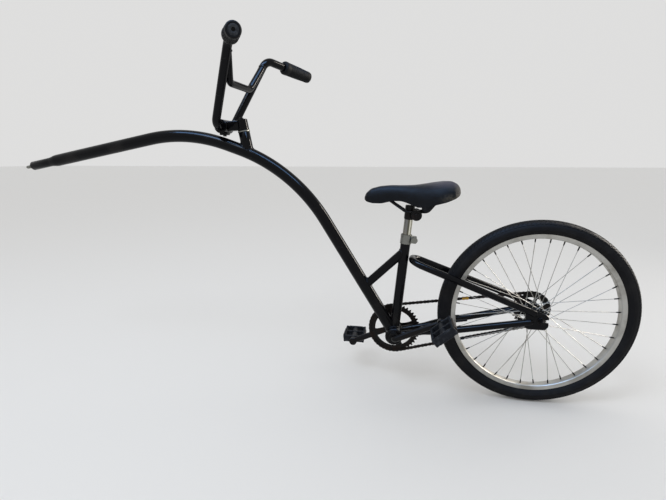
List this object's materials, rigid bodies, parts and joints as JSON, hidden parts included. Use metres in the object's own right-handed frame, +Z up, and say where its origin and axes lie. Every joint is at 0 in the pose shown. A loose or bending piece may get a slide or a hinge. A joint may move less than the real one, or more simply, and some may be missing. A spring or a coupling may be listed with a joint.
{
  "type": "child's trailer bicycle",
  "caption": "One-wheeled child's trailer bicycle: long arched boom, saddle, wide upright handlebar, one-piece crank and chain drive to a spoked wheel.",
  "frame": {"origin": "centre of the boom's open mouth, where the hitch holds it", "axes": "+X rearward, +Y to the rider's right, +Z up; the wheel's axle lies along Y"},
  "size_m": [2.088, 0.6461, 1.1221],
  "materials": {
    "black_paint": "gloss black",
    "black_steel": "satin black, worn",
    "zinc": "zinc plated",
    "chrome": "polished",
    "alloy": "dull silver",
    "rusty_steel": "dark brown, rusty",
    "tyre_rubber": "dull black, dusty",
    "grip_rubber": "dull black",
    "black_plastic": "matt black",
    "saddle_vinyl": "smooth black vinyl"
  },
  "bodies": {
    "frame": {"axle": "black_steel", "axle_nut_left": "black_steel", "axle_nut_right": "black_steel", "bearing_cup_left": "black_steel", "bearing_cup_right": "black_steel", "boom": "black_paint", "bottom_bracket_shell": "black_paint", "chain": "rusty_steel", "chain_stay_bridge": "black_paint", "chain_stay_left": "black_paint", "chain_stay_right": "black_paint", "dropout_left": "black_paint", "dropout_right": "black_paint", "grip_left": "grip_rubber", "grip_right": "grip_rubber", "gusset_tube": "black_paint", "handlebar": "black_paint", "handlebar_brace": "black_paint", "head_ring": "zinc", "head_tube": "black_paint", "hitch_stud": "zinc", "saddle_clamp": "black_steel", "saddle_cover": "saddle_vinyl", "saddle_pan": "black_plastic", "saddle_rails": "black_steel", "seat_clamp": "zinc", "seat_clamp_bolt": "zinc", "seat_post": "chrome", "seat_stays": "black_paint", "seat_tube": "black_paint", "stem": "black_paint", "stem_bolt": "black_steel", "stem_pinch_bolt": "black_steel"},
    "crank": {"crank": "black_steel", "chainring": "rusty_steel", "pedal_axle_left": "zinc", "pedal_axle_right": "zinc"},
    "pedal_left_body": {"pedal_left": "black_plastic"},
    "pedal_right_body": {"pedal_right": "black_plastic"},
    "wheel": {"tyre": "tyre_rubber", "rim": "alloy", "hub_and_spokes": "alloy"},
    "freewheel_body": {"freewheel": "rusty_steel"}
  },
  "joints": [
    {"name": "wheel_spin", "type": "hinge", "parent": "frame", "child": "wheel", "pos_m": [1.757, 0, -0.456], "axis": [0, 1, 0], "continuous": true},
    {"name": "crank_spin", "type": "hinge", "parent": "frame", "child": "crank", "pos_m": [1.31647, 0, -0.554], "axis": [0, 1, 0], "continuous": true},
    {"name": "freewheel_spin", "type": "hinge", "parent": "frame", "child": "freewheel_body", "pos_m": [1.757, 0, -0.456], "axis": [0, 1, 0], "continuous": true},
    {"name": "pedal_left_spin", "type": "hinge", "parent": "crank", "child": "pedal_left_body", "pos_m": [1.46413, -0.068, -0.48038], "axis": [0, 1, 0], "continuous": true},
    {"name": "pedal_right_spin", "type": "hinge", "parent": "crank", "child": "pedal_right_body", "pos_m": [1.1688, 0.068, -0.62762], "axis": [0, 1, 0], "continuous": true}
  ],
  "couplings": [
    {"joint": "freewheel_spin", "follows": "crank_spin", "ratio": 1.5}
  ]
}
